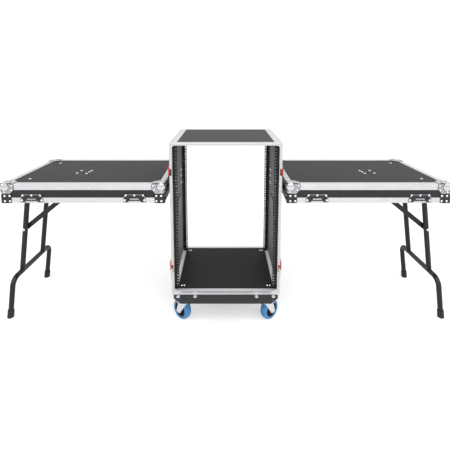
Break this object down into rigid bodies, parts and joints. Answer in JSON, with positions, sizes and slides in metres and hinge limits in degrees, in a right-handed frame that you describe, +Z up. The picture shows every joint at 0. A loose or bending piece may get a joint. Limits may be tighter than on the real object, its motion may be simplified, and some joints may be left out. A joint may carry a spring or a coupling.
{
  "type": "equipment rack case",
  "caption": "Open-ended 19-inch rack case with aluminium edges on a caster board, its two lids hung at the sides as tables on folding legs.",
  "frame": {"origin": "on the floor, under the middle of the case", "axes": "X across the case and along both tables, +Z up, the front opening faces -Y"},
  "size_m": [2.1848, 0.56, 0.8932],
  "materials": {
    "laminate_top": "black textured laminate on plywood",
    "laminate_side": "black textured laminate on plywood",
    "extrusion": "brushed, anodised",
    "rail_black": "satin black",
    "black_steel": "satin black powder coat",
    "zinc": "bright zinc plated",
    "latch_red": "red coated wing",
    "board": "black painted plywood",
    "blue_tyre": "blue elastic rubber",
    "hub_black": "moulded nylon",
    "foot_rubber": "moulded cap"
  },
  "bodies": {
    "case": {"left_side_panel": "laminate_side", "right_side_panel": "laminate_side", "top_panel": "laminate_top", "floor_panel": "laminate_side", "edge_angles": "extrusion", "front_frame": "extrusion", "rear_frame": "extrusion", "front_rails": "rail_black", "rear_rails": "rail_black", "latch_dishes": "black_steel", "handle_dishes": "black_steel", "case_rivets": "zinc", "hook_sockets": "zinc", "caster_board": "board", "board_bolts": "zinc", "caster_plates": "zinc"},
    "front_left_caster": {"front_left_fork": "zinc"},
    "front_left_wheel": {"front_left_tyre": "blue_tyre", "front_left_hub": "hub_black"},
    "front_left_lower_latch": {"front_left_lower_latch": "latch_red"},
    "front_left_upper_latch": {"front_left_upper_latch": "latch_red"},
    "front_right_caster": {"front_right_fork": "zinc"},
    "front_right_wheel": {"front_right_tyre": "blue_tyre", "front_right_hub": "hub_black"},
    "front_right_lower_latch": {"front_right_lower_latch": "latch_red"},
    "front_right_upper_latch": {"front_right_upper_latch": "latch_red"},
    "rear_left_caster": {"rear_left_fork": "zinc"},
    "rear_left_wheel": {"rear_left_tyre": "blue_tyre", "rear_left_hub": "hub_black"},
    "rear_left_lower_latch": {"rear_left_lower_latch": "latch_red"},
    "rear_left_upper_latch": {"rear_left_upper_latch": "latch_red"},
    "rear_right_caster": {"rear_right_fork": "zinc"},
    "rear_right_wheel": {"rear_right_tyre": "blue_tyre", "rear_right_hub": "hub_black"},
    "rear_right_lower_latch": {"rear_right_lower_latch": "latch_red"},
    "rear_right_upper_latch": {"rear_right_upper_latch": "latch_red"},
    "left_handle": {"left_handle": "black_steel"},
    "left_brake_pedal": {"left_brake_pedal": "zinc"},
    "left_table": {"left_table_panel": "laminate_top", "left_table_rim": "laminate_side", "left_table_edging": "extrusion", "left_table_corners": "zinc", "left_table_keepers": "zinc", "left_table_hooks": "zinc", "left_table_leg_mounts": "zinc"},
    "left_leg": {"left_leg_frame": "black_steel", "left_leg_feet": "foot_rubber"},
    "left_brace": {"left_leg_brace": "black_steel"},
    "right_handle": {"right_handle": "black_steel"},
    "right_brake_pedal": {"right_brake_pedal": "zinc"},
    "right_table": {"right_table_panel": "laminate_top", "right_table_rim": "laminate_side", "right_table_edging": "extrusion", "right_table_corners": "zinc", "right_table_keepers": "zinc", "right_table_hooks": "zinc", "right_table_leg_mounts": "zinc"},
    "right_leg": {"right_leg_frame": "black_steel", "right_leg_feet": "foot_rubber"},
    "right_brace": {"right_leg_brace": "black_steel"}
  },
  "joints": [
    {"name": "front_left_swivel", "type": "hinge", "parent": "case", "child": "front_left_caster", "pos_m": [-0.188, -0.22, 0.12], "axis": [0, 0, 1], "continuous": true},
    {"name": "front_left_roll", "type": "hinge", "parent": "front_left_caster", "child": "front_left_wheel", "pos_m": [-0.21579, -0.19408, 0.05], "axis": [0.682, 0.7314, 0], "continuous": true},
    {"name": "front_left_lower_latch_turn", "type": "hinge", "parent": "case", "child": "front_left_lower_latch", "pos_m": [-0.26, -0.208, 0.283], "axis": [-1, 0, 0], "range_deg": [0, 180]},
    {"name": "front_left_upper_latch_turn", "type": "hinge", "parent": "case", "child": "front_left_upper_latch", "pos_m": [-0.26, -0.208, 0.755], "axis": [-1, 0, 0], "range_deg": [0, 180]},
    {"name": "front_right_swivel", "type": "hinge", "parent": "case", "child": "front_right_caster", "pos_m": [0.188, -0.22, 0.12], "axis": [0, 0, 1], "continuous": true},
    {"name": "front_right_roll", "type": "hinge", "parent": "front_right_caster", "child": "front_right_wheel", "pos_m": [0.21579, -0.19408, 0.05], "axis": [-0.682, 0.7314, 0], "continuous": true},
    {"name": "front_right_lower_latch_turn", "type": "hinge", "parent": "case", "child": "front_right_lower_latch", "pos_m": [0.26, -0.208, 0.283], "axis": [1, 0, 0], "range_deg": [0, 180]},
    {"name": "front_right_upper_latch_turn", "type": "hinge", "parent": "case", "child": "front_right_upper_latch", "pos_m": [0.26, -0.208, 0.755], "axis": [1, 0, 0], "range_deg": [0, 180]},
    {"name": "rear_left_swivel", "type": "hinge", "parent": "case", "child": "rear_left_caster", "pos_m": [-0.188, 0.22, 0.12], "axis": [0, 0, 1], "continuous": true},
    {"name": "rear_left_roll", "type": "hinge", "parent": "rear_left_caster", "child": "rear_left_wheel", "pos_m": [-0.21579, 0.19408, 0.05], "axis": [0.682, -0.7314, 0], "continuous": true},
    {"name": "rear_left_lower_latch_turn", "type": "hinge", "parent": "case", "child": "rear_left_lower_latch", "pos_m": [-0.26, 0.208, 0.283], "axis": [-1, 0, 0], "range_deg": [0, 180]},
    {"name": "rear_left_upper_latch_turn", "type": "hinge", "parent": "case", "child": "rear_left_upper_latch", "pos_m": [-0.26, 0.208, 0.755], "axis": [-1, 0, 0], "range_deg": [0, 180]},
    {"name": "rear_right_swivel", "type": "hinge", "parent": "case", "child": "rear_right_caster", "pos_m": [0.188, 0.22, 0.12], "axis": [0, 0, 1], "continuous": true},
    {"name": "rear_right_roll", "type": "hinge", "parent": "rear_right_caster", "child": "rear_right_wheel", "pos_m": [0.21579, 0.19408, 0.05], "axis": [-0.682, -0.7314, 0], "continuous": true},
    {"name": "rear_right_lower_latch_turn", "type": "hinge", "parent": "case", "child": "rear_right_lower_latch", "pos_m": [0.26, 0.208, 0.283], "axis": [1, 0, 0], "range_deg": [0, 180]},
    {"name": "rear_right_upper_latch_turn", "type": "hinge", "parent": "case", "child": "rear_right_upper_latch", "pos_m": [0.26, 0.208, 0.755], "axis": [1, 0, 0], "range_deg": [0, 180]},
    {"name": "left_handle_lift", "type": "hinge", "parent": "case", "child": "left_handle", "pos_m": [-0.253, 0, 0.549], "axis": [0, 1, 0], "range_deg": [0, 88], "stiffness_Nm_per_rad": 0.15, "springref_deg": -17.19},
    {"name": "left_brake_press", "type": "hinge", "parent": "rear_left_caster", "child": "left_brake_pedal", "pos_m": [-0.20409, 0.205, 0.106], "axis": [0.682, -0.7314, 0], "range_deg": [0, 9]},
    {"name": "left_table_lift", "type": "slide", "parent": "case", "child": "left_table", "axis": [0, 0, 1], "range_m": [0, 0.05]},
    {"name": "left_leg_fold", "type": "hinge", "parent": "left_table", "child": "left_leg", "pos_m": [-0.986, 0, 0.646], "axis": [0, -1, 0], "range_deg": [0, 97]},
    {"name": "left_brace_fold", "type": "hinge", "parent": "left_leg", "child": "left_brace", "pos_m": [-1.01648, -0.091, 0.42913], "axis": [0, -1, 0], "range_deg": [-131.42, 0]},
    {"name": "right_handle_lift", "type": "hinge", "parent": "case", "child": "right_handle", "pos_m": [0.253, 0, 0.549], "axis": [0, -1, 0], "range_deg": [0, 88], "stiffness_Nm_per_rad": 0.15, "springref_deg": -17.19},
    {"name": "right_brake_press", "type": "hinge", "parent": "rear_right_caster", "child": "right_brake_pedal", "pos_m": [0.20409, 0.205, 0.106], "axis": [0.682, 0.7314, 0], "range_deg": [0, 9]},
    {"name": "right_table_lift", "type": "slide", "parent": "case", "child": "right_table", "axis": [0, 0, 1], "range_m": [0, 0.05]},
    {"name": "right_leg_fold", "type": "hinge", "parent": "right_table", "child": "right_leg", "pos_m": [0.986, 0, 0.646], "axis": [0, 1, 0], "range_deg": [0, 97]},
    {"name": "right_brace_fold", "type": "hinge", "parent": "right_leg", "child": "right_brace", "pos_m": [1.01648, -0.091, 0.42913], "axis": [0, 1, 0], "range_deg": [-131.42, 0]}
  ],
  "couplings": [
    {"joint": "left_brace_fold", "follows": "left_leg_fold", "ratio": -1.3445},
    {"joint": "right_brace_fold", "follows": "right_leg_fold", "ratio": -1.3445}
  ]
}
